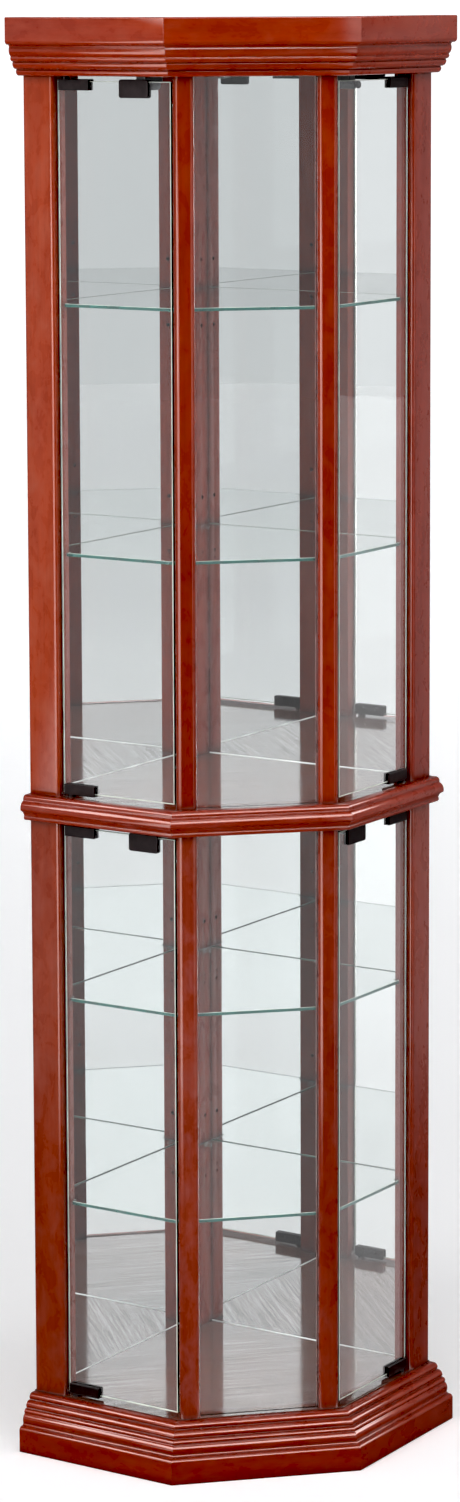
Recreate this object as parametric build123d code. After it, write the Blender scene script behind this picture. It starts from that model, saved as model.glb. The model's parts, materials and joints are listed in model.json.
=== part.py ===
from build123d import *
import os
from math import cos, radians, sqrt, tan

# Two-section corner curio cabinet: five-sided plan, glass doors on the two slanted
# sides, a fixed pane in front, mirrors on the two walls.  Millimetres, +Z up.
# Frame: X across the front, -Y towards the viewer, origin at the middle of the
# footprint's box on the floor.

# ---- driving dimensions ----------------------------------------------------
HEIGHT = 1780.0
WALL_REACH = 362.0        # back corner to a door face, along the wall
FRONT_REACH = 407.0       # back corner to the front posts' faces
MOLDING_OUT = 34.5        # crown and base stand this far out of the posts
MOLDING_TALL = 70.0
WAIST_TALL = 31.6
BOARD = 15.0
BACK_PANEL = 5.0
MIRROR = 3.0
GLASS = 5.0
SHELF_GLASS = 4.0

LOWER_FLOOR = 71.0        # top of the lower floor board
LOWER_CEILING = 800.0     # underside of the lower section's top board
UPPER_FLOOR = LOWER_CEILING + WAIST_TALL
UPPER_CEILING = HEIGHT - MOLDING_TALL

SIDE_POST_FACE = 45.0     # width of a side post on the door side
SIDE_POST_DEEP = 28.0
FRONT_POST_IN = 75.0      # inner face of a front post from the centre line
FRONT_POST_OUT = 103.2    # outer corner before rounding
FRONT_POST_DEEP = 20.0
BACK_POST = 35.0
REBATE = 8.0              # back panels sit this far into the posts
PANE_GROOVE = 3.5         # the fixed pane's edges sit this far into the front posts
MIRROR_LOOSE = 0.5        # gap between a mirror's edge and a post
SIDE_POST_ROUND = 5.0
FRONT_POST_ROUND = 6.5
TOP_PANEL_DOWN = 3.0      # top panel's upper face below the crown's rim

DOOR_INSET = 8.0          # door glass face behind the post faces
DOOR_START = 46.3         # hinge edge of the glass, from the wall
DOOR_END = 209.0          # free edge of the glass, from the wall
DOOR_GAP_BELOW = 5.4
DOOR_GAP_ABOVE = 6.2
DOOR_BEVEL = 0.8          # polished arris round a door glass
PIVOT_FROM_WALL = 57.0

SHELF_HEIGHTS = {"upper_top": 1431.5, "upper_bottom": 1127.0,
                 "lower_top": 571.5, "lower_bottom": 312.5}
SHELF_INSET_SIDE = 22.0
SHELF_INSET_FRONT = 21.0
SHELF_CLEAR = 1.5
SHELF_BEVEL = 0.4
PIN_RADIUS = 2.5
PIN_PITCH = 42.0
PIN_IN = 8.0              # stem inside the post
PIN_OUT = 9.0             # stem under the shelf
PIN_SNUG = 0.1            # hole radius over stem radius
COLLAR_STEP = 1.4
COLLAR_THICK = 1.2
BACK_PIN = 22.0           # pin on the back post, from the other wall
SIDE_PIN = 26.0           # pin on a side post, from the wall
FRONT_PIN = 83.0          # pin on a front post, from the centre line
FRONT_LEAN = radians(22.5)    # half the turn between a door and the front pane

# ---- worked-out places -----------------------------------------------------
HALF = sqrt(0.5)
BACK_Y = (FRONT_REACH + MOLDING_OUT) / 2
FRONT_Y = BACK_Y - FRONT_REACH
WALL_TO_ROW = Pos(0, BACK_Y, 0) * Rot(0, 0, 225)
DIAGONAL = Plane(origin=(0, 0, 0), z_dir=(1, -1, 0))
SECTIONS = {"upper": (UPPER_FLOOR, UPPER_CEILING), "lower": (LOWER_FLOOR, LOWER_CEILING)}
GLASS_OUT = WALL_REACH - DOOR_INSET          # outer face of a door glass
GLASS_IN = GLASS_OUT - GLASS
PANE_FRONT = FRONT_Y + DOOR_INSET            # outer face of the fixed front pane
PIVOT = (WALL_REACH - DOOR_INSET - GLASS / 2, PIVOT_FROM_WALL)

# Wall frame: origin at the back corner, x along the left wall, y along the right
# wall.  The left door's face is x = WALL_REACH and the right side is its mirror.


def to_row(shape):
    return WALL_TO_ROW * shape


def left_and_right(shape):
    """Place a left-side shape of the wall frame, and its mirror image."""
    return {"left": to_row(shape), "right": to_row(mirror(shape, about=DIAGONAL))}


def block(x, y, z):
    """Box between three pairs of limits."""
    size = [high - low for low, high in (x, y, z)]
    return Pos(x[0], y[0], z[0]) * Box(*size, align=(Align.MIN,) * 3)


def prism(points, z0, z1):
    return extrude(Pos(0, 0, z0) * make_face(Polyline(*points, close=True)), z1 - z0)


def group(shapes):
    return Compound(children=[solid for shape in shapes for solid in shape.solids()])


def row_point(x, y):
    """A wall-frame point in the row frame."""
    return ((y - x) * HALF, BACK_Y - (x + y) * HALF)


def corner_points(out=0.0):
    """Footprint corners with the door and front faces moved out by `out`."""
    reach = WALL_REACH + out
    cut = (FRONT_REACH + out) * sqrt(2) - reach
    wall_frame = [(0, 0), (reach, 0), (reach, cut), (cut, reach), (0, reach)]
    return [row_point(x, y) for x, y in wall_frame]


# ---- mouldings -------------------------------------------------------------
def outline_face(steps):
    """Face from (standing out, up, bulge) steps from the origin; a bulge above 0 is convex."""
    edges = []
    here = (0.0, 0.0)
    for out, up, bulge in steps:
        there = (out, up)
        edges.append(SagittaArc(here, there, -bulge) if bulge else Line(here, there))
        here = there
    edges.append(Line(here, (0.0, 0.0)))
    return make_face(edges)


def stepped_outline():
    """Crown and base stock: beads with quirks between them, from the thin end to a flat face."""
    out = MOLDING_OUT
    tall = MOLDING_TALL
    return [(7, 0, 0), (12.2, 6.3, 1.7), (11.2, 7.4, 0), (11.6, 8.2, 0), (19.4, 15.2, 2.5),
            (18.4, 16.4, 0), (18.8, 17.2, 0), (23.6, 21.6, 1.5), (22.7, 22.6, 0), (23, 23.3, 0),
            (26, 34.2, 2.0), (28.6, 37.2, -0.8), (29.8, 37.2, 0), (out, 43, 1.7),
            (out, tall - 1.5, 0), (out - 1.5, tall, 0.45), (0, tall, 0)]


def waist_outline():
    """Nosed rail: a small bead and a cove below the nose, a reed above it."""
    return [(9.5, 0, 0), (11.6, 4.4, 1.1), (10.9, 5.2, 0), (17.2, 12.2, -1.1), (18.4, 12.8, 0),
            (13.8, 24.2, 2.2), (12.6, 24.6, 0), (12.6, 25.4, 0), (8, WAIST_TALL, 1.7), (0, WAIST_TALL, 0)]


def molding_set(face, level):
    """Three mitred lengths of moulding around the footprint, thin end at `level`."""
    inner = corner_points(0)
    outer = corner_points(2 * MOLDING_OUT)
    spans = {"left": (1, 2), "front": (2, 3), "right": (4, 3)}
    side_plane = Plane(origin=(WALL_REACH, 0, level), x_dir=(1, 0, 0), z_dir=(0, -1, 0))
    front_plane = Plane(origin=(WALL_REACH, FRONT_Y, level), x_dir=(0, -1, 0), z_dir=(-1, 0, 0))
    lengths = left_and_right(extrude(side_plane * face, -WALL_REACH))
    lengths["front"] = extrude(front_plane * face, 2 * WALL_REACH)
    pieces = {}
    for side, (start, end) in spans.items():
        room = [inner[start], inner[end], outer[end], outer[start]]
        pieces[side] = lengths[side] & prism(room, -1, HEIGHT + 1)
    return pieces


def moldings():
    thin_end_down = outline_face(stepped_outline())
    thin_end_up = mirror(thin_end_down, about=Plane.XZ)
    crown = molding_set(thin_end_down, UPPER_CEILING)
    waist = molding_set(outline_face(waist_outline()), LOWER_CEILING)
    base = molding_set(thin_end_up, MOLDING_TALL)
    named = {}
    for name, pieces in (("crown", crown), ("waist", waist), ("base", base)):
        for side, piece in pieces.items():
            named[f"{name}_molding_{side}"] = piece
    return named


# ---- back panels, mirrors, posts, boards -----------------------------------
def back_panels():
    """Thin panel down each wall, widened above the ceiling to close the crown."""
    top = HEIGHT - BOARD
    panel = block((BACK_POST - REBATE, WALL_REACH - SIDE_POST_DEEP + REBATE), (0, BACK_PANEL), (0, top))
    head = block((BACK_PANEL, WALL_REACH), (0, BACK_PANEL), (UPPER_CEILING + BOARD, top))
    return left_and_right(panel + head)


def mirror_panes(z0, z1):
    between = (BACK_POST + MIRROR_LOOSE, WALL_REACH - SIDE_POST_DEEP - MIRROR_LOOSE)
    return left_and_right(block(between, (BACK_PANEL, BACK_PANEL + MIRROR), (z0, z1)))


def side_posts(z0, z1):
    post = block((WALL_REACH - SIDE_POST_DEEP, WALL_REACH), (0, SIDE_POST_FACE), (z0, z1))
    post = fillet(post.edges().filter_by(Axis.Z).group_by(Axis.X)[-1], SIDE_POST_ROUND)
    return left_and_right(post - rebate(z0, z1))


def rebate(z0, z1):
    """Slot in a side post that takes the edge of the back panel."""
    start = WALL_REACH - SIDE_POST_DEEP
    return block((start - 1, start + REBATE), (-1, BACK_PANEL), (z0, z1))


def back_post(z0, z1):
    post = block((0, BACK_POST), (0, BACK_POST), (z0, z1))
    slot = block((BACK_POST - REBATE, BACK_POST + 1), (-1, BACK_PANEL), (z0, z1))
    return to_row(post - slot - mirror(slot, about=DIAGONAL))


def front_post_points(grow=0.0):
    """Right front post: square to the pane inside, mitre-cut on the door side."""
    lean = tan(FRONT_LEAN)
    side = FRONT_POST_OUT + grow / cos(FRONT_LEAN) + grow * lean
    front = FRONT_Y - grow
    rear = FRONT_Y + FRONT_POST_DEEP + grow
    depth = rear - front
    inner = FRONT_POST_IN - grow
    return [(inner, front), (side, front), (side - depth * lean, rear), (inner, rear)]


def front_posts(z0, z1):
    post = prism(front_post_points(), z0, z1)
    post = fillet(post.edges().filter_by(Axis.Z).group_by(Axis.Y)[0], FRONT_POST_ROUND)
    groove = (FRONT_POST_IN - 1, FRONT_POST_IN + PANE_GROOVE + MIRROR_LOOSE)
    post -= block(groove, (PANE_FRONT, PANE_FRONT + GLASS), (z0, z1))
    return {"right": post, "left": mirror(post, about=Plane.YZ)}


def front_pane(z0, z1):
    reach = FRONT_POST_IN + PANE_GROOVE
    return block((-reach, reach), (PANE_FRONT, PANE_FRONT + GLASS), (z0, z1))


def board(z0, z1, cuts):
    return prism(corner_points(), z0, z1) - cuts


# ---- shelves and their pins ------------------------------------------------
def shelf(level):
    wall = BACK_PANEL + MIRROR + SHELF_CLEAR
    side = WALL_REACH - SHELF_INSET_SIDE
    cut = (FRONT_REACH - SHELF_INSET_FRONT) * sqrt(2) - side
    points = [(wall, wall), (side, wall), (side, cut), (cut, side), (wall, side)]
    top = level + SHELF_GLASS
    pane = to_row(prism(points, level, top))
    back = block((0, BACK_POST + SHELF_CLEAR), (0, BACK_POST + SHELF_CLEAR), (level, top))
    beside = block((WALL_REACH - SIDE_POST_DEEP - SHELF_CLEAR, WALL_REACH),
                   (0, SIDE_POST_FACE + SHELF_CLEAR), (level, top))
    front = prism(front_post_points(SHELF_CLEAR), level, top)
    for notch in (to_row(back), *left_and_right(beside).values(), front, mirror(front, about=Plane.YZ)):
        pane -= notch
    return chamfer(pane.edges().group_by(Axis.Z)[-1], SHELF_BEVEL)


def pin_seats():
    """Mouth of each post's pin hole: (x, y, direction) in the row frame, at any height."""
    side_face = WALL_REACH - SIDE_POST_DEEP
    wall_frame = [(BACK_POST, BACK_PIN, 225), (side_face, SIDE_PIN, 45)]
    seats = []
    for x, y, turn in wall_frame:
        place = row_point(x, y)
        seats.append((*place, turn))
        seats.append((-place[0], place[1], 180 - turn))
    for sign in (-1, 1):
        seats.append((sign * FRONT_PIN, FRONT_Y + FRONT_POST_DEEP, 90))
    return seats


def along(seat, level, radius, start, end):
    """Cylinder on a seat's axis, from `start` to `end` out of the post."""
    x, y, turn = seat
    return (Pos(x, y, level) * Rot(0, 0, turn) * Pos(start, 0, 0) * Rot(0, 90, 0)
            * Cylinder(radius, end - start, align=(Align.CENTER, Align.CENTER, Align.MIN)))


def shelf_pins():
    pins = []
    for level in SHELF_HEIGHTS.values():
        for seat in pin_seats():
            stem = along(seat, level - PIN_RADIUS, PIN_RADIUS, -PIN_IN, PIN_OUT)
            collar = along(seat, level - PIN_RADIUS, PIN_RADIUS + COLLAR_STEP, 0, COLLAR_THICK)
            pins.append(stem + collar)
    return group(pins)


def pin_holes():
    """Three holes one above the other in every post at each shelf."""
    holes = []
    for level in SHELF_HEIGHTS.values():
        for step in (-1, 0, 1):
            height = level - PIN_RADIUS + step * PIN_PITCH
            radius = PIN_RADIUS + PIN_SNUG
            holes += [along(seat, height, radius, -PIN_IN - 1, 1) for seat in pin_seats()]
    return holes


# ---- doors -----------------------------------------------------------------
HINGE_LONG = 44.5
HINGE_TALL = 11.0
HINGE_START = DOOR_START + 3.2
HINGE_ROUND = 1.2
HINGE_BEVEL = 0.6
CLAMP = 3.0               # plate thickness of a glass clamp
WEB = 2.5                 # clamp material over the glass edge
SCREW_PLACES = (0.3, 0.7)     # clamping screws, as shares of the clamp's length
SCREW_HEAD = 2.6
SCREW_PROUD = 1.2
PIVOT_PIN = 3.0
PIVOT_COLLAR = 5.0
PIVOT_GAP = 0.3           # between a pivot's collar and the board
PIN_SHORT = 2.0           # the pivot pin stops this far from its bush's far end
BUSH = 6.0
BUSH_LONG = 12.0
RUNNING_FIT = 0.05        # radial clearance of the pivots and plungers
STRIKE_LONG = 42.0
STRIKE_TALL = 22.0
STRIKE_CAP = 2.5          # steel above the glass
STRIKE_WALL = 2.0         # steel on each face of the glass
STRIKE_ROUND = 3.0
STRIKE_BEVEL = 0.5
STRIKE_CENTRES = {"upper_left": 157.5, "lower_left": 164.5, "lower_right": 170.0}
LATCH_CENTRES = {"upper_left": 157.5, "lower_left": 164.5, "upper_right": 154.0, "lower_right": 170.0}
LATCH_DROP = 12.0         # plunger axis below the ceiling
LATCH_FRONT = WALL_REACH - 22.0
LATCH_LONG = 38.0
HOUSING_WIDE = 14.0
HOUSING_DEEP = 9.0
HOUSING_ROUND = 2.0
BARREL = 5.2
BORE_LONG = 27.0
PLUNGER = 3.0
PLUNGER_LONG = 25.0
PLUNGER_HEAD = 4.5
PLUNGER_HEAD_LONG = 3.0
PLUNGER_BEVEL = 0.6
PLUNGER_FACE = GLASS_IN - 2.4
UPRIGHT = (Align.CENTER, Align.CENTER, Align.MIN)     # a cylinder standing on its end

BUMPER_BALL = 5.0
BUMPER_FLAT = 3.0         # the ball is cut off this far from its centre
BUMPER_IN = 16.0          # bumper behind a front post's face
BUMPER_FLOOR = 50.0       # lower bumpers above the floor board
BUMPER_CEILING = 34.0     # upper bumpers below the ceiling board

SIDE_BLOCK = (60.0, 50.0)     # block under a side post: along the wall, out of it
FRONT_BLOCK = (55.0, 95.0)    # block under a front post: limits from the centre line
FRONT_BLOCK_DEEP = 45.0


def glass_span(section):
    floor, ceiling = SECTIONS[section]
    return floor + DOOR_GAP_BELOW, ceiling - DOOR_GAP_ABOVE


def door_glass(section):
    low, high = glass_span(section)
    glass = block((GLASS_IN, GLASS_OUT), (DOOR_START, DOOR_END), (low, high))
    return chamfer(glass.edges().filter_by(Axis.X, reverse=True), DOOR_BEVEL)


def hinge_clamp(edge, away, board_face):
    """Clamp over a glass corner with its pivot; `away` is +1 at the top, -1 below."""
    tip = edge + away * WEB
    foot = edge - away * HINGE_TALL
    x, y = PIVOT
    shell = block((GLASS_IN - CLAMP, GLASS_OUT + CLAMP), (HINGE_START, HINGE_START + HINGE_LONG),
                  sorted((tip, foot)))
    shell = fillet(shell.edges().filter_by(Axis.X), HINGE_ROUND)
    shell = chamfer(shell.faces().sort_by(Axis.X)[-1].edges(), HINGE_BEVEL)
    shell -= block((GLASS_IN, GLASS_OUT), (0, WALL_REACH), sorted((edge, foot - away)))
    rise = Pos(x, y, tip) * Rot(0 if away > 0 else 180, 0, 0)
    gap = abs(board_face - tip)
    collar = rise * Cylinder(PIVOT_COLLAR, gap - PIVOT_GAP, align=UPRIGHT)
    pin = rise * Cylinder(PIVOT_PIN, gap + BUSH_LONG - PIN_SHORT, align=UPRIGHT)
    clamp = shell + collar + pin
    for share in SCREW_PLACES:
        place = Pos(GLASS_IN - CLAMP, HINGE_START + share * HINGE_LONG, (edge + foot) / 2)
        clamp += place * Rot(0, -90, 0) * Cylinder(SCREW_HEAD, SCREW_PROUD, align=UPRIGHT)
    return clamp


def door_hinges(section):
    floor, ceiling = SECTIONS[section]
    low, high = glass_span(section)
    return group([hinge_clamp(high, 1, ceiling), hinge_clamp(low, -1, floor)])


def bushes(section):
    """Nylon bushes let into the boards for the pivot pins of one left door."""
    floor, ceiling = SECTIONS[section]
    x, y = PIVOT
    tube = Cylinder(BUSH, BUSH_LONG) - Cylinder(PIVOT_PIN + RUNNING_FIT, BUSH_LONG)
    return [Pos(x, y, ceiling + BUSH_LONG / 2) * tube, Pos(x, y, floor - BUSH_LONG / 2) * tube]


def bush_hole(z0, z1):
    x, y = PIVOT
    return Pos(x, y, (z0 + z1) / 2) * Cylinder(BUSH, z1 - z0)


def strike(section, centre):
    """Steel clip over the top edge of a door for the magnet to hold."""
    _, high = glass_span(section)
    tip = high + STRIKE_CAP
    long = (centre - STRIKE_LONG / 2, centre + STRIKE_LONG / 2)
    plate = block((GLASS_IN - STRIKE_WALL, GLASS_OUT + STRIKE_WALL), long, (tip - STRIKE_TALL, tip))
    plate = fillet(plate.edges().filter_by(Axis.X), STRIKE_ROUND)
    plate = chamfer(plate.faces().sort_by(Axis.X)[-1].edges(), STRIKE_BEVEL)
    return plate - block((GLASS_IN, GLASS_OUT), (0, WALL_REACH), (0, high))


def latch_body(section, centre):
    """Housing under the ceiling with the barrel of a push latch."""
    _, ceiling = SECTIONS[section]
    half = HOUSING_WIDE / 2
    housing = block((LATCH_FRONT - LATCH_LONG, LATCH_FRONT), (centre - half, centre + half),
                    (ceiling - HOUSING_DEEP, ceiling))
    housing = fillet(housing.edges().filter_by(Axis.Z), HOUSING_ROUND)
    lying = Pos(LATCH_FRONT, centre, ceiling - LATCH_DROP) * Rot(0, -90, 0)
    barrel = lying * Cylinder(BARREL, LATCH_LONG, align=UPRIGHT)
    bore = lying * Cylinder(PLUNGER + RUNNING_FIT, BORE_LONG, align=UPRIGHT)
    return housing + barrel - bore


def plunger(section, centre):
    """Magnet head on a rod that slides in a latch's bore."""
    _, ceiling = SECTIONS[section]
    lying = Pos(PLUNGER_FACE, centre, ceiling - LATCH_DROP) * Rot(0, -90, 0)
    head = lying * Cylinder(PLUNGER_HEAD, PLUNGER_HEAD_LONG, align=UPRIGHT)
    head = chamfer(head.edges().sort_by(Axis.X)[-1], PLUNGER_BEVEL)
    return head + lying * Cylinder(PLUNGER, PLUNGER_LONG, align=UPRIGHT)


def bumpers():
    """Clear domes on the front posts that the doors close against."""
    x = FRONT_POST_OUT - BUMPER_IN * tan(FRONT_LEAN)
    wide = 3 * BUMPER_BALL
    cap = Sphere(BUMPER_BALL) & Pos(0, 0, BUMPER_FLAT) * Box(wide, wide, wide, align=UPRIGHT)
    dome = Rot(0, 0, 22.5) * Rot(0, 90, 0) * Pos(0, 0, -BUMPER_FLAT) * cap
    domes = []
    for floor, ceiling in SECTIONS.values():
        for level in (floor + BUMPER_FLOOR, ceiling - BUMPER_CEILING):
            turned = Pos(x, FRONT_Y + BUMPER_IN, level) * dome
            domes += [turned, mirror(turned, about=Plane.YZ)]
    return group(domes)


def base_blocks():
    """Blocks under the floor board that carry the four outer posts."""
    tall = (0, LOWER_FLOOR - BOARD)
    long, deep = SIDE_BLOCK
    beside = block((WALL_REACH - long, WALL_REACH), (BACK_PANEL, deep), tall)
    front = block(FRONT_BLOCK, (FRONT_Y, FRONT_Y + FRONT_BLOCK_DEEP), tall)
    return group([*left_and_right(beside).values(), front, mirror(front, about=Plane.YZ)])


# ---- assembly --------------------------------------------------------------
def board_nodes(panels, back_post_below):
    """Floors and ceilings, cut for the back panels, the pivot bushes and the back post."""
    mid = (LOWER_CEILING + UPPER_FLOOR) / 2
    spans = {"lower_floor_board": (LOWER_FLOOR - BOARD, LOWER_FLOOR),
             "lower_ceiling_board": (LOWER_CEILING, mid),
             "upper_floor_board": (mid, UPPER_FLOOR),
             "upper_ceiling_board": (UPPER_CEILING, UPPER_CEILING + BOARD)}
    nodes = {}
    for name, (z0, z1) in spans.items():
        depth = (z1 - BUSH_LONG, z1) if "floor" in name else (z0, z0 + BUSH_LONG)
        cuts = [*panels.values(), *left_and_right(bush_hole(*depth)).values()]
        if name == "lower_floor_board":
            cuts.append(back_post_below)
        nodes[name] = board(z0, z1, cuts)
    nodes["crown_top_panel"] = board(HEIGHT - BOARD, HEIGHT - TOP_PANEL_DOWN, [])
    return nodes


def section_nodes(section, holes):
    """Posts, mirrors and fixed pane of one section."""
    floor, ceiling = SECTIONS[section]
    posts = {f"{side}_post": post for side, post in side_posts(floor, ceiling).items()}
    for side, post in front_posts(floor, ceiling).items():
        posts[f"front_{side}_post"] = post
    posts["back_post"] = back_post(0 if section == "lower" else floor, ceiling)
    nodes = {f"{section}_{name}": post - holes for name, post in posts.items()}
    for side, pane in mirror_panes(floor, ceiling).items():
        nodes[f"{section}_mirror_{side}"] = pane
    nodes[f"{section}_front_glass"] = front_pane(floor, ceiling)
    return nodes


def door_nodes(section, side):
    """Glass, hinges, latch plunger and strike of one door."""
    door = f"{section}_{side}"
    nodes = {f"{door}_door_glass": door_glass(section),
             f"{door}_door_hinges": door_hinges(section),
             f"{door}_latch_plunger": plunger(section, LATCH_CENTRES[door])}
    if door in STRIKE_CENTRES:
        nodes[f"{door}_door_strike"] = strike(section, STRIKE_CENTRES[door])
    return {name: left_and_right(shape)[side] for name, shape in nodes.items()}


def cabinet():
    nodes = moldings()
    panels = back_panels()
    holes = pin_holes()
    for section in SECTIONS:
        nodes.update(section_nodes(section, holes))
    for side, panel in panels.items():
        nodes[f"back_panel_{side}"] = panel
    nodes.update(board_nodes(panels, nodes["lower_back_post"]))
    for place, level in SHELF_HEIGHTS.items():
        nodes[f"{place}_shelf"] = shelf(level)
    nodes["shelf_pins"] = shelf_pins()

    latches = []
    bush_parts = []
    for section in SECTIONS:
        for tube in bushes(section):
            bush_parts += left_and_right(tube).values()
        for side in ("left", "right"):
            nodes.update(door_nodes(section, side))
            body = latch_body(section, LATCH_CENTRES[f"{section}_{side}"])
            latches.append(left_and_right(body)[side])
    nodes["latch_bodies"] = group(latches)
    nodes["pivot_bushes"] = group(bush_parts)
    nodes["door_bumpers"] = bumpers()
    nodes["base_blocks"] = base_blocks()
    return nodes


os.makedirs("parts", exist_ok=True)
for name, part in cabinet().items():
    export_step(part, f"parts/{name}.step")
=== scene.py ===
import json
from math import cos, radians, sin, sqrt

import bmesh
import bpy
from mathutils import Matrix, Vector

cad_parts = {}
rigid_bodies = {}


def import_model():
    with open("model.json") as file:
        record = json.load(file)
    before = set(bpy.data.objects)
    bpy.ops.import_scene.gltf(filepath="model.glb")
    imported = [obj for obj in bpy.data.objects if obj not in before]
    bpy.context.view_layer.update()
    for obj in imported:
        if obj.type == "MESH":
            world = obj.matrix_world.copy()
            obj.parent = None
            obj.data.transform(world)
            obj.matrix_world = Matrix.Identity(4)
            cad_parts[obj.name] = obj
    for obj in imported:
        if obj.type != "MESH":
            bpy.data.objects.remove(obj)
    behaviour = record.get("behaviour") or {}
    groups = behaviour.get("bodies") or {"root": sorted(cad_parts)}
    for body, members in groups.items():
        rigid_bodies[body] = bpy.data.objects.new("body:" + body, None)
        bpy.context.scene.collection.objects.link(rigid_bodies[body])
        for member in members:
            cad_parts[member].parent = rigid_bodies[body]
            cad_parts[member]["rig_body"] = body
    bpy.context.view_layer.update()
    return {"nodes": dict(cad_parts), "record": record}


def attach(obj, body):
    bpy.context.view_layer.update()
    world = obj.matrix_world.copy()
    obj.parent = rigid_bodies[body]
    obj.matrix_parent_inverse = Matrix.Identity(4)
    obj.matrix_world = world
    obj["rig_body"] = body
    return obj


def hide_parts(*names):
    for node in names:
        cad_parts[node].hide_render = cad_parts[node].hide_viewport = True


# Corner curio cabinet: cherry-stained wood, frameless glass doors, mirrored walls.
# Everything is in metres in the row frame: +Z up, -Y out of the fixed front pane.

for default in list(bpy.data.objects):
    bpy.data.objects.remove(default)

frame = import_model()
NODES = frame["nodes"]
SECTIONS = ("upper", "lower")
SIDES = ("left", "right")

# ---- directions ------------------------------------------------------------
HALF = sqrt(0.5)
UP = Vector((0, 0, 1))
ACROSS = Vector((1, 0, 0))
DEEP = Vector((0, 1, 0))
ALONG = {"left": Vector((HALF, -HALF, 0)), "right": Vector((HALF, HALF, 0))}
OUTWARD = {"left": Vector((-HALF, -HALF, 0)), "right": Vector((HALF, -HALF, 0))}
INWARD = {"left": Vector((HALF, -HALF, 0)), "right": Vector((-HALF, -HALF, 0))}

# ---- shapes' measures ------------------------------------------------------
SAME_POINT = 1e-6
SAME_PLANE = radians(0.4)
SHARP_OVER = radians(28)      # edges sharper than this are eased
SMOOTH_UNDER = radians(32)    # edges flatter than this are shaded smooth
POST_EASE = 0.0010
MOLDING_EASE = 0.0006
HARDWARE_EASE = 0.0004
FOOT_ROUND = 0.0011           # polished fillet where a mirror meets the floor board
FOOT_STEPS = 6
FACE_ON = 0.9                 # a sheet's faces point across it by more than this
SLANTED = 0.3                 # and its arrises by more than this, its edges by less

# ---- wood ------------------------------------------------------------------
CHERRY = (0.238, 0.0200, 0.0050)
FLOOR_WOOD = (0.120, 0.046, 0.028)
PINE = (0.52, 0.33, 0.17)
LACQUER_TINT = (1.0, 0.45, 0.28, 1)
COAT_ROUGHNESS = 0.08
PAINTED_SHADE_REACH = 0.012          # how far off a surface the painted shade in a recess reaches
FIGURE_SCALE = (3.0, 22.0)    # each scale is along the grain, then across it
CLOUD_SCALE = (30.0, 55.0)
PORE_SCALE = (85.0, 1500.0)
LINE_LENGTHWISE = 7.0
DARK_FIGURE = (0.80, 0.70, 0.7)
PALE_FIGURE = (1.12, 1.3, 1.5)
PALE_CLOUD = (1.1, 2.2, 4.5)
DEEP_CLOUD = (0.70, 0.50, 0.5)
# colour of the painted shade in a recess
PAINTED_SHADE_TONE = (0.16, 0.1, 0.1)
LINE_SHADE = 0.50
PORE_SHADE = 0.28
OUTSIDE = {"gloss": 0.28, "shine": 0.20, "coat": 0.50, "coat_ior": 1.5, "worn": 0.75, "peel": 0.35,
           "across": 330.0, "grain_depth": 0.00006, "line_depth": 0.25, "painted_shade_and_tint": True}
INSIDE = {"gloss": 0.10, "shine": 1.0, "coat": 1.0, "coat_ior": 2.6, "worn": 0.3, "peel": 0.08,
          "across": 260.0, "grain_depth": 0.000012, "line_depth": 0.60, "painted_shade_and_tint": False}
RAW = {**OUTSIDE, "gloss": 0.6, "coat": 0.0}
PLAIN_TONE = (1.0, 1.0, 1.0)
# Per-part multipliers on the cherry colour: partly each piece's own tone, partly painted sheen and
# painted shade for how the light falls on that piece.
TONES_AND_PAINTED_SHEEN = {
    "upper_front_left_post": (0.78, 0.7, 0.5),
    "upper_front_right_post": (0.95, 0.9, 0.7),
    "upper_left_post": (1.12, 1.5, 1.6),
    "upper_right_post": (0.80, 0.9, 1.4),
    "lower_left_post": (0.82, 1.2, 1.6),
    "lower_right_post": (0.78, 1.2, 2.2),
    "lower_front_left_post": (0.95, 1.7, 3.0),
    "lower_front_right_post": (0.78, 1.0, 1.4),
    "waist": (0.85, 1.0, 1.5),
    "base": (0.78, 0.75, 0.9),
}

# ---- glass -----------------------------------------------------------------
GLASS_IOR = 1.5
PLASTIC_IOR = 1.49
POLISHED = 0.003              # roughness up to which rays off the surface count as singular

# ---- studio ----------------------------------------------------------------
FLOOR_RADIUS = 14.0
AMBIENT_SHARE = 0.42          # how much of the surround's brightness lights matt surfaces
BLACK_LEVEL = 0.018           # linear value that shows as black
DIM_ROOM = 0.22               # what satin surfaces see away from the banks of light
LEFT_ROOM = 1.2               # what they see straight to the left
RIGHT_ROOM = 0.5              # what is added for them straight to the right
LEFT_BANK = (-0.88, -0.40, 0.06, 9.0)     # from, to, softness and strength
RIGHT_BANK = (0.50, 0.62, 0.05, 4.0)
TOP_BANK = (0.50, 0.74, 0.10, 20.0)
BANK_TOP = (0.08, 0.22)       # height at which the side banks fade out
AIM = (0, 0, 0.9)
EYE = (-1.1005, -5.0848, 1.809)
PITCH, YAW, ROLL = radians(90 - 7.529), radians(-12.279), radians(-0.212)
LENS = 101.17
SENSOR = 36.0
SHIFT_DOWN = -0.134
FAR = 100.0


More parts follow.
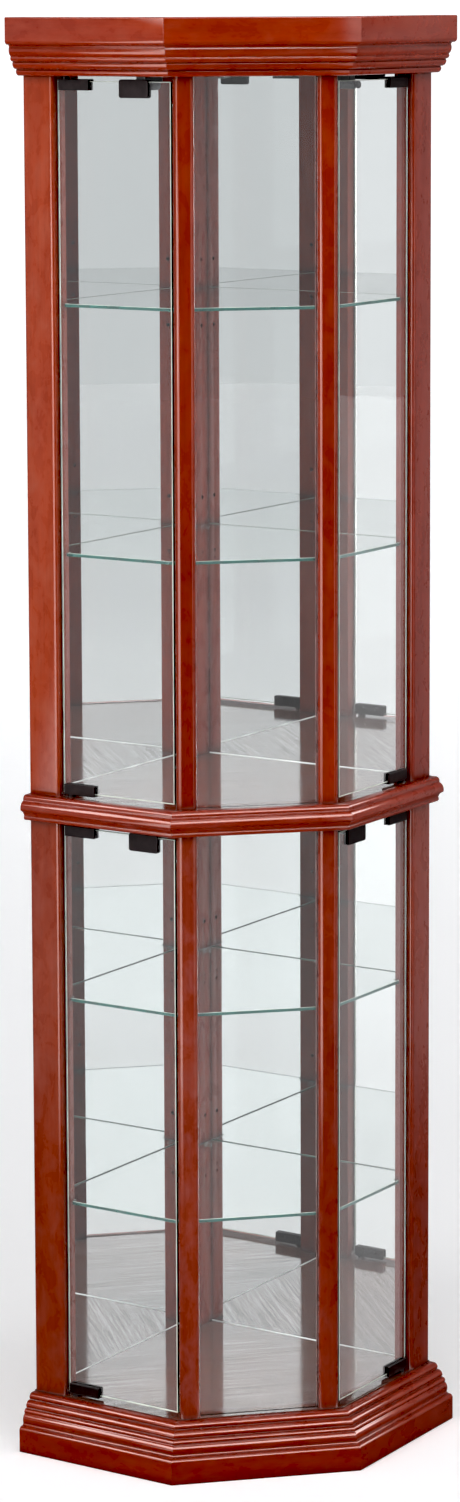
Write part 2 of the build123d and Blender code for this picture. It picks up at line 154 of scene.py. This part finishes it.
# ---- node helpers ----------------------------------------------------------
class Nodes:
    """Short calls for the nodes used here, in one node tree."""

    def __init__(self, node_tree):
        self.nodes = node_tree.nodes
        self.links = node_tree.links

    def add(self, kind, **values):
        node = self.nodes.new(kind)
        for key, value in values.items():
            setattr(node, key, value)
        return node

    def feed(self, socket, value):
        """Link a socket, or set a plain value."""
        if isinstance(value, bpy.types.NodeSocket):
            self.links.new(value, socket)
        else:
            socket.default_value = value

    def fed(self, kind, *values, **settings):
        """First output of a new node whose inputs are fed in order."""
        node = self.add(kind, **settings)
        for socket, value in zip(node.inputs, values):
            self.feed(socket, value)
        return node.outputs[0]

    def maths(self, kind, *values, clamp=False):
        return self.fed("ShaderNodeMath", *values, operation=kind, use_clamp=clamp)

    def product(self, *values):
        total = values[0]
        for value in values[1:]:
            total = self.maths("MULTIPLY", total, value)
        return total

    def total(self, *values):
        answer = values[0]
        for value in values[1:]:
            answer = self.maths("ADD", answer, value)
        return answer

    def spread(self, value, low, high, to_low=0.0, to_high=1.0, kind="LINEAR"):
        return self.fed("ShaderNodeMapRange", value, low, high, to_low, to_high, interpolation_type=kind)

    def ramp(self, value, low, high, to_low, to_high):
        """As spread, with soft ends."""
        return self.spread(value, low, high, to_low, to_high, kind="SMOOTHSTEP")

    def band(self, value, low, high, soft, strength):
        """Strength between low and high, fading to nothing on both sides."""
        rise = self.ramp(value, low - soft, low, 0.0, strength)
        return self.product(rise, self.ramp(value, high, high + soft, 1.0, 0.0))

    def split(self, vector):
        node = self.add("ShaderNodeSeparateXYZ")
        self.feed(node.inputs[0], vector)
        return node.outputs

    def bounced(self):
        """1 for a ray that comes off a satin surface, not off a mirror or through glass."""
        rays = self.add("ShaderNodeLightPath").outputs
        clear = self.maths("MAXIMUM", rays["Is Transmission Ray"], rays["Is Singular Ray"])
        return self.maths("SUBTRACT", rays["Is Glossy Ray"], clear, clamp=True)


class Tree(Nodes):
    """A new material's node tree."""

    def __init__(self, name):
        self.material = bpy.data.materials.new(name)
        self.material.use_nodes = True
        super().__init__(self.material.node_tree)
        self.shader = self.nodes["Principled BSDF"]
        self.output = self.nodes["Material Output"]
        self.place = self.add("ShaderNodeTexCoord").outputs["Object"]

    def turned(self, along, shift):
        """Object coordinates turned so that the grain runs along X, then moved by shift."""
        node = self.add("ShaderNodeMapping", vector_type="POINT")
        self.feed(node.inputs["Vector"], self.place)
        node.inputs["Rotation"].default_value = along.rotation_difference(ACROSS).to_euler()
        node.inputs["Location"].default_value = shift
        return node.outputs[0]

    def stretched(self, vector, lengthwise, across):
        node = self.add("ShaderNodeMapping", vector_type="POINT")
        self.feed(node.inputs["Vector"], vector)
        node.inputs["Scale"].default_value = (lengthwise, across, across)
        return node.outputs[0]

    def noise(self, vector, scale=1.0, detail=4.0, rough=0.55, distort=0.0):
        node = self.add("ShaderNodeTexNoise")
        self.feed(node.inputs["Vector"], vector)
        node.inputs["Scale"].default_value = scale
        node.inputs["Detail"].default_value = detail
        node.inputs["Roughness"].default_value = rough
        node.inputs["Distortion"].default_value = distort
        return node.outputs["Fac"]

    def blend(self, share, first, second):
        node = self.add("ShaderNodeMix", data_type="RGBA")
        self.feed(node.inputs["Factor"], share)
        self.feed(node.inputs["A"], first)
        self.feed(node.inputs["B"], second)
        return node.outputs["Result"]

    def bump(self, height, depth, strength=1.0, over=None):
        node = self.add("ShaderNodeBump")
        self.feed(node.inputs["Height"], height)
        node.inputs["Distance"].default_value = depth
        node.inputs["Strength"].default_value = strength
        if over is not None:
            self.feed(node.inputs["Normal"], over)
        return node.outputs[0]

    def surface(self, **values):
        for name, value in values.items():
            self.feed(self.shader.inputs[name.replace("_", " ")], value)

    def finish_with(self, share, other):
        """Shader output: the material's own shader, and `other` by its share."""
        mixed = self.fed("ShaderNodeMixShader", share, self.shader.outputs[0], other)
        self.feed(self.output.inputs["Surface"], mixed)


def shade(colour, factor):
    return (*(min(1.0, channel * factor) for channel in colour), 1)


def tinted(colour, red, green, blue):
    return (colour[0] * red, colour[1] * green, colour[2] * blue, 1)


# ---- materials -------------------------------------------------------------
def wood(name, along, seed, colour, finish):
    """Stained and lacquered wood: cloudy stain, long grain lines, short pores, painted shade in each
    recess.
    """
    tree = Tree(name)
    place = tree.turned(along, (seed * 1.37, seed * 0.71, seed * 0.53))
    figure = tree.noise(tree.stretched(place, *FIGURE_SCALE), detail=5, rough=0.6, distort=1.2)
    cloud = tree.noise(tree.stretched(place, *CLOUD_SCALE), detail=4, rough=0.6, distort=0.4)
    lines = tree.noise(tree.stretched(place, LINE_LENGTHWISE, finish["across"]), detail=6, rough=0.65)
    pores = tree.noise(tree.stretched(place, *PORE_SCALE), detail=2, rough=0.5)
    speck = tree.spread(pores, 0.66, 0.76, 0.0, 0.55)

    dark, pale = tinted(colour, *DARK_FIGURE), tinted(colour, *PALE_FIGURE)
    body = tree.blend(tree.spread(figure, 0.33, 0.68), dark, pale)
    body = tree.blend(tree.spread(cloud, 0.46, 0.72, 0.0, 0.55), body, tinted(colour, *PALE_CLOUD))
    body = tree.blend(tree.spread(cloud, 0.26, 0.46, 0.18, 0.0), body, tinted(colour, *DEEP_CLOUD))
    streak = tree.spread(lines, 0.45, 0.72, 0.0, finish["line_depth"])
    body = tree.blend(streak, body, shade(colour, LINE_SHADE))
    body = tree.blend(speck, body, shade(colour, PORE_SHADE))
    # painted shade in each recess and beside nearby parts, from an ambient-occlusion node; the same
    # switch tints the lacquer's reflections
    if finish["painted_shade_and_tint"]:
        openness = tree.add("ShaderNodeAmbientOcclusion", samples=4)
        openness.inputs["Distance"].default_value = PAINTED_SHADE_REACH
        painted_shade = tree.spread(openness.outputs["AO"], 0.30, 0.92, 0.92, 0.0)
        body = tree.blend(painted_shade, body, tinted(colour, *PAINTED_SHADE_TONE))
        tree.surface(Specular_Tint=LACQUER_TINT)

    peel = tree.noise(tree.place, scale=420.0, detail=2)
    skin = tree.bump(peel, 0.00003, finish["peel"])
    height = tree.maths("MULTIPLY_ADD", lines, 0.7, tree.maths("MULTIPLY", speck, -0.8))
    coat, gloss = finish["coat"], finish["gloss"]
    tree.surface(
        Base_Color=body,
        Roughness=tree.spread(cloud, 0.3, 0.7, gloss - 0.05, gloss + 0.07),
        Normal=tree.bump(height, finish["grain_depth"], 0.5, over=skin),
        Specular_IOR_Level=finish["shine"],
        Coat_Weight=tree.spread(lines, 0.40, 0.66, coat, coat * finish["worn"]) if coat else 0.0,
        Coat_Roughness=COAT_ROUGHNESS,
        Coat_IOR=finish["coat_ior"],
    )
    return tree.material


def clear_glass(name, tint):
    """Clear glass with a faint ripple and faint smears; lamps shine through it."""
    tree = Tree(name)
    ripple = tree.noise(tree.place, scale=9.0, detail=2)
    smear = tree.noise(tree.place, scale=26.0, detail=5, rough=0.6, distort=0.8)
    tree.surface(
        Base_Color=tree.blend(smear, shade(tint, 1.0), shade(tint, 0.985)),
        Roughness=tree.spread(smear, 0.45, 0.8, 0.0, POLISHED),
        Normal=tree.bump(ripple, 0.0002, 0.25),
        IOR=GLASS_IOR,
        Transmission_Weight=1.0,
    )
    shadow_ray = tree.add("ShaderNodeLightPath").outputs["Is Shadow Ray"]
    tree.finish_with(shadow_ray, tree.fed("ShaderNodeBsdfTransparent", shade(tint, 1.0)))
    return tree.material


def glass_edge(name, colour, clear=0.35):
    """Ground glass edge, chamfer or fillet: finely streaked and partly clear."""
    tree = Tree(name)
    streak = tree.noise(tree.stretched(tree.place, 30.0, 30.0), detail=4)
    tree.surface(
        Base_Color=tree.blend(tree.spread(streak, 0.3, 0.7), shade(colour, 0.75), shade(colour, 1.25)),
        Roughness=tree.spread(streak, 0.3, 0.7, 0.10, 0.22),
        Transmission_Weight=clear,
        IOR=GLASS_IOR,
    )
    return tree.material


def silvered(name):
    """Mirror glass seen from the front, with a faint haze and a slow ripple."""
    tree = Tree(name)
    haze = tree.noise(tree.place, scale=7.0, detail=5, rough=0.6, distort=0.6)
    ripple = tree.noise(tree.place, scale=3.5, detail=1)
    tree.surface(
        Base_Color=tree.blend(haze, (0.80, 0.815, 0.815, 1), (0.84, 0.85, 0.85, 1)),
        Metallic=1.0,
        Roughness=tree.spread(haze, 0.35, 0.8, 0.0, POLISHED),
        Normal=tree.bump(ripple, 0.0003, 0.12),
    )
    return tree.material


def coated_metal(name, colour):
    """Black-brown powder coat on small hardware."""
    tree = Tree(name)
    fine = tree.noise(tree.place, scale=900.0, detail=3)
    worn = tree.noise(tree.place, scale=120.0, detail=5, rough=0.65)
    tree.surface(
        Base_Color=tree.blend(tree.spread(worn, 0.35, 0.75), shade(colour, 0.8), shade(colour, 1.6)),
        Roughness=tree.spread(worn, 0.3, 0.75, 0.34, 0.55),
        Specular_IOR_Level=0.12,
        Normal=tree.bump(fine, 0.00004, 0.5),
    )
    return tree.material


def moulded_plastic(name, colour, gloss, clear=0.0):
    """Moulded plastic with a fine texture, cloudy in gloss."""
    tree = Tree(name)
    fine = tree.noise(tree.place, scale=600.0, detail=3)
    cloud = tree.noise(tree.place, scale=90.0, detail=3)
    tree.surface(
        Base_Color=tree.blend(cloud, shade(colour, 0.85), shade(colour, 1.15)),
        Roughness=tree.spread(cloud, 0.3, 0.7, gloss, gloss + 0.12),
        Normal=tree.bump(fine, 0.00003, 0.4),
        Transmission_Weight=clear,
        IOR=PLASTIC_IOR,
    )
    return tree.material


def hardboard(name):
    """Plain brown board with short fibres in every direction."""
    tree = Tree(name)
    fibre = tree.noise(tree.place, scale=520.0, detail=5, rough=0.7, distort=2.0)
    stain = tree.noise(tree.place, scale=6.0, detail=4)
    tone = tree.blend(tree.spread(stain, 0.3, 0.7), (0.20, 0.105, 0.055, 1), (0.27, 0.15, 0.085, 1))
    tree.surface(
        Base_Color=tree.blend(tree.spread(fibre, 0.4, 0.7, 0.0, 0.5), tone, (0.12, 0.06, 0.03, 1)),
        Roughness=tree.spread(fibre, 0.3, 0.7, 0.55, 0.8),
        Normal=tree.bump(fibre, 0.00015, 0.6),
    )
    return tree.material


# ---- shapes ----------------------------------------------------------------
def new_piece(name, bm):
    """Object in the scene with bm's mesh."""
    mesh = bpy.data.meshes.new(name)
    bm.to_mesh(mesh)
    bm.free()
    piece = bpy.data.objects.new(name, mesh)
    bpy.context.scene.collection.objects.link(piece)
    return piece


def smoothed(piece):
    piece.data.shade_smooth()
    piece.data.set_sharp_from_angle(angle=SMOOTH_UNDER)
    return piece


def eased(node, ease):
    """A node's shape with its sharp edges rounded over."""
    bm = bmesh.new()
    bm.from_mesh(NODES[node].data)
    bmesh.ops.remove_doubles(bm, verts=bm.verts, dist=SAME_POINT)
    bmesh.ops.dissolve_limit(bm, angle_limit=SAME_PLANE, verts=bm.verts, edges=bm.edges)
    corners = [e for e in bm.edges if len(e.link_faces) == 2 and e.calc_face_angle() > SHARP_OVER]
    bmesh.ops.bevel(bm, geom=corners, offset=ease, segments=2, profile=0.6,
                    affect="EDGES", clamp_overlap=True)
    bmesh.ops.triangulate(bm, faces=[f for f in bm.faces if len(f.verts) > 4])
    return smoothed(new_piece(node + "_eased", bm))


def stand_in(node, ease, material):
    """An eased copy of a node takes its place, on the node's own body."""
    piece = eased(node, ease)
    piece.data.materials.append(material)
    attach(piece, NODES[node]["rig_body"])
    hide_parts(node)


def paint(node, faces, edges=None, slants=None, flat=None):
    """Material for a CAD node; a sheet across `flat` gets its own for edges and arrises."""
    mesh = NODES[node].data
    mesh.materials.clear()
    mesh.materials.append(faces)
    if edges is None:
        return
    mesh.materials.append(edges)
    mesh.materials.append(slants or edges)
    for polygon in mesh.polygons:
        facing = abs(polygon.normal.dot(flat))
        polygon.material_index = 0 if facing > FACE_ON else 2 if facing > SLANTED else 1


def mirror_foot(node, inward, material):
    """Quarter-round glass fillet along the foot of a mirror's face."""
    corners = [v.co for v in NODES[node].data.vertices]
    along = inward.cross(UP)
    corner_line = inward * max(c.dot(inward) for c in corners) + UP * min(c.z for c in corners)
    bm = bmesh.new()
    rows = []
    for pick in (min, max):
        base = along * pick(c.dot(along) for c in corners) + corner_line
        row = [bm.verts.new(base)]
        for step in range(FOOT_STEPS + 1):
            turn = radians(90) * step / FOOT_STEPS
            arm = inward * cos(turn) + UP * sin(turn)
            row.append(bm.verts.new(base + arm * FOOT_ROUND))
        rows.append(row)
    first, last = rows
    bm.faces.new(first)
    bm.faces.new(list(reversed(last)))
    for spot in range(len(first)):
        after = (spot + 1) % len(first)
        bm.faces.new((first[spot], last[spot], last[after], first[after]))
    bmesh.ops.recalc_face_normals(bm, faces=bm.faces)
    piece = smoothed(new_piece(node + "_foot", bm))
    piece.data.materials.append(material)
    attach(piece, NODES[node]["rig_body"])


# ---- the cabinet -----------------------------------------------------------
def grain_of(node):
    for side in SIDES:
        if f"molding_{side}" in node:
            return ALONG[side]
    return UP if "post" in node else ACROSS


def woodwork():
    subparts = frame["record"]["subparts"]
    nodes = [part["node"] for part in subparts if part["material_slot"] == "cherry_wood"]
    for seed, node in enumerate(nodes, start=1):
        if node.endswith("_board"):
            top = wood(f"cherry_{node}", grain_of(node), seed, FLOOR_WOOD, INSIDE)
            rim = wood(f"rim_{node}", grain_of(node), seed, FLOOR_WOOD, OUTSIDE)
            paint(node, top, rim, flat=UP)
        else:
            # per-part tone, with painted sheen and painted shade for that piece
            tone = TONES_AND_PAINTED_SHEEN.get(node, TONES_AND_PAINTED_SHEEN.get(node.split("_")[0], PLAIN_TONE))
            material = wood(f"cherry_{node}", grain_of(node), seed, tinted(CHERRY, *tone)[:3], OUTSIDE)
            ease = MOLDING_EASE if "molding" in node else POST_EASE
            stand_in(node, ease, material)


def glazing():
    door_sheet = clear_glass("door_glass", (0.978, 0.990, 0.986))
    pane_sheet = clear_glass("pane_glass", (0.980, 0.991, 0.987))
    shelf_sheet = clear_glass("shelf_glass", (0.955, 0.988, 0.978))
    door_edge = glass_edge("door_glass_edge", (0.008, 0.050, 0.042))
    shelf_edge = glass_edge("shelf_glass_edge", (0.008, 0.110, 0.090))
    # pale colour on the arrises of every sheet: a painted highlight along the glass edges
    arris_highlight = glass_edge("glass_arris_painted_highlight", (0.72, 0.79, 0.70), clear=0.2)
    # pale, opaque colour on the fillet at each mirror's foot: a painted highlight, added to what the
    # fillet itself reflects
    foot_highlight = glass_edge("mirror_foot_painted_highlight", (0.78, 0.80, 0.80), clear=0.0)
    mirror_face = silvered("mirror_silver")
    for section in SECTIONS:
        paint(f"{section}_front_glass", pane_sheet, door_edge, arris_highlight, DEEP)
        for level in ("top", "bottom"):
            paint(f"{section}_{level}_shelf", shelf_sheet, shelf_edge, arris_highlight, UP)
        for side in SIDES:
            mirror = f"{section}_mirror_{side}"
            paint(f"{section}_{side}_door_glass", door_sheet, door_edge, arris_highlight, OUTWARD[side])
            paint(mirror, mirror_face, door_edge, arris_highlight, INWARD[side])
            mirror_foot(mirror, INWARD[side], foot_highlight)


def hardware():
    black_metal = coated_metal("hinge_coat", (0.010, 0.007, 0.007))
    black_plastic = moulded_plastic("latch_plastic", (0.022, 0.020, 0.020), 0.38)
    for node in NODES:
        if node.endswith(("_hinges", "_strike", "_plunger")):
            stand_in(node, HARDWARE_EASE, black_metal)
    stand_in("latch_bodies", HARDWARE_EASE, black_plastic)
    paint("pivot_bushes", moulded_plastic("bush_nylon", (0.030, 0.028, 0.028), 0.45))
    clear_plastic = moulded_plastic("clear_plastic", (0.86, 0.90, 0.90), 0.08, clear=0.85)
    paint("shelf_pins", clear_plastic)
    paint("door_bumpers", clear_plastic)


def hidden_parts():
    paint("base_blocks", wood("base_pine", UP, 31, PINE, RAW))
    board = hardboard("back_board")
    for side in SIDES:
        paint(f"back_panel_{side}", board)


# ---- floor, light and camera -----------------------------------------------
def floor_piece():
    """Pale disc that glows more further off; satin surfaces see it dark nearby, then open."""
    bm = bmesh.new()
    bmesh.ops.create_circle(bm, cap_ends=True, radius=FLOOR_RADIUS, segments=96)
    floor = new_piece("studio_floor", bm)
    tree = Tree("studio_floor")
    speck = tree.noise(tree.place, scale=3.0, detail=3)
    length = tree.add("ShaderNodeVectorMath", operation="LENGTH")
    tree.feed(length.inputs[0], tree.place)
    distance = length.outputs["Value"]
    in_front = tree.spread(tree.split(tree.place)["Y"], -7.0, -2.0, 0.66, 1.0)
    glow = tree.product(in_front, tree.spread(distance, 1.5, 6.0, 0.18, 0.52))
    tree.surface(
        Base_Color=tree.blend(speck, (0.88, 0.88, 0.89, 1), (0.91, 0.91, 0.92, 1)),
        Roughness=0.75,
        Specular_IOR_Level=0.1,
        Emission_Color=(1, 1, 1, 1),
        Emission_Strength=glow,
    )
    near = tree.fed("ShaderNodeBsdfDiffuse", (0.10, 0.10, 0.10, 1))
    beyond = tree.fed("ShaderNodeBsdfTransparent")
    dark = tree.fed("ShaderNodeMixShader", tree.spread(distance, 1.2, 2.6), near, beyond)
    tree.finish_with(tree.bounced(), dark)
    floor.data.materials.append(tree.material)


def softbox(name, place, aim, size, power):
    data = bpy.data.lights.new(name, "AREA")
    data.shape = "RECTANGLE"
    data.size, data.size_y = size
    data.energy = power
    lamp = bpy.data.objects.new(name, data)
    lamp.location = place
    lamp.rotation_mode = "QUATERNION"
    lamp.rotation_quaternion = (Vector(aim) - Vector(place)).to_track_quat("-Z", "Y")
    bpy.context.scene.collection.objects.link(lamp)


def studio_world():
    """Pale surround; rays off satin surfaces see a dim room with three banks of light instead."""
    world = bpy.data.worlds.new("studio")
    bpy.context.scene.world = world
    world.use_nodes = True
    tree = Nodes(world.node_tree)
    x, y, z = tree.split(tree.add("ShaderNodeTexCoord").outputs["Generated"])

    level = tree.ramp(y, -0.7, 0.2, 0.85, 1.12)
    ahead = tree.ramp(y, -0.85, -0.1, 1.0, 0.0)
    high = tree.ramp(z, 0.02, 0.30, 0.0, 0.9)
    skyline = tree.ramp(z, 0.0, 0.08, 1.06, 0.94)
    sideways = tree.ramp(x, 0.35, 0.95, 1.0, 0.55)
    pale = tree.product(tree.maths("MULTIPLY_ADD", ahead, high, level), sideways, skyline)

    in_front = tree.ramp(y, -0.10, 0.0, 1.0, 0.0)
    low = tree.ramp(z, *BANK_TOP, 1.0, 0.0)
    left_room = tree.ramp(x, -0.99, -0.92, LEFT_ROOM, DIM_ROOM)
    right_room = tree.ramp(x, 0.80, 0.97, 0.0, RIGHT_ROOM)
    left_bank = tree.product(tree.band(x, *LEFT_BANK), in_front, low)
    right_bank = tree.product(tree.band(x, *RIGHT_BANK), in_front, low)
    top_bank = tree.product(tree.band(z, *TOP_BANK), tree.ramp(y, 0.1, 0.3, 1.0, 0.0))
    dim = tree.total(left_room, right_room, top_bank, left_bank, right_bank)

    diffuse_ray = tree.add("ShaderNodeLightPath").outputs["Is Diffuse Ray"]
    seen = tree.product(pale, tree.maths("MULTIPLY_ADD", diffuse_ray, AMBIENT_SHARE - 1.0, 1.0))
    change = tree.product(tree.maths("SUBTRACT", dim, pale), tree.bounced())
    ground = tree.nodes["Background"]
    tree.feed(ground.inputs["Strength"], tree.total(seen, change))
    ground.inputs["Color"].default_value = (0.97, 0.98, 1.0, 1)


def photo_camera():
    """Eye level just above the crown, to the left, with the picture shifted down."""
    data = bpy.data.cameras.new("camera")
    data.sensor_fit = "VERTICAL"
    data.sensor_height = SENSOR
    data.sensor_width = SENSOR
    data.lens = LENS
    data.shift_y = SHIFT_DOWN
    data.clip_end = FAR
    camera = bpy.data.objects.new("camera", data)
    camera.location = EYE
    pitch = Matrix.Rotation(PITCH, 3, "X")
    yaw = Matrix.Rotation(YAW, 3, "Z")
    roll = Matrix.Rotation(ROLL, 3, "Z")
    camera.rotation_mode = "QUATERNION"
    camera.rotation_quaternion = (yaw @ pitch @ roll).to_quaternion()
    bpy.context.scene.collection.objects.link(camera)
    bpy.context.scene.camera = camera


def display():
    """Standard view transform; linear values up to the black level show as black."""
    settings = bpy.context.scene.view_settings
    settings.view_transform = "Standard"
    settings.use_curve_mapping = True
    settings.curve_mapping.black_level = (BLACK_LEVEL,) * 3
    settings.curve_mapping.update()


woodwork()
glazing()
hardware()
hidden_parts()

floor_piece()
softbox("key", (-3.5, -2.7, 2.3), AIM, (1.3, 2.4), 80)
softbox("fill", (3.6, -2.8, 1.9), AIM, (1.2, 2.4), 28)
softbox("overhead", (0.2, -1.3, 4.0), (0, 0, 0.8), (2.4, 0.8), 40)
studio_world()
photo_camera()
display()
